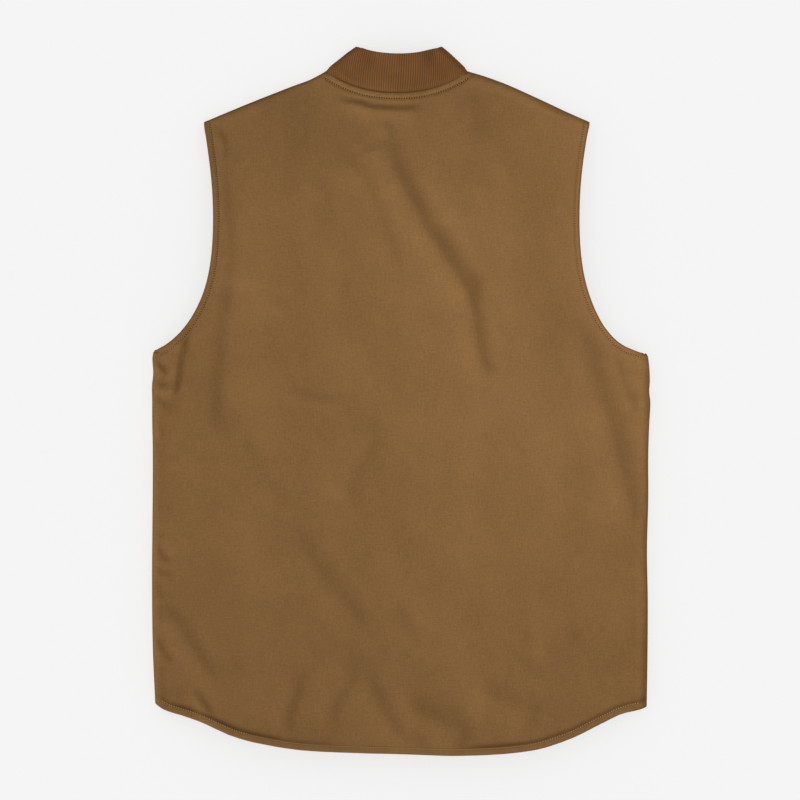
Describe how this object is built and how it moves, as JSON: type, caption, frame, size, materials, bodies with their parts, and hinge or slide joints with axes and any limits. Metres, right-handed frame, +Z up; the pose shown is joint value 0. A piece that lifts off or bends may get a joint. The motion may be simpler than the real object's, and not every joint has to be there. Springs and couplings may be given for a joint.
{
  "type": "work vest",
  "caption": "Sleeveless duck work vest with a rib-knit stand collar, deep armholes and a curved drop-tail hem, lying flat on its front with its back up.",
  "frame": {"origin": "on the resting surface, under the middle of the vest's outline", "axes": "+X to the right and +Y to the collar as the back is seen from above, +Z up from the front to the back"},
  "size_m": [0.548, 0.78, 0.0421],
  "materials": {
    "duck": "matt brown cotton duck with a firm plain weave",
    "rib_knit": "matt reddish brown rib knit",
    "zip": "dark brown woven tape with a coil"
  },
  "bodies": {
    "root": {"back_panel": "duck", "front_panel_left": "duck", "front_panel_right": "duck", "rib_collar": "rib_knit", "front_zip": "zip"}
  },
  "joints": []
}
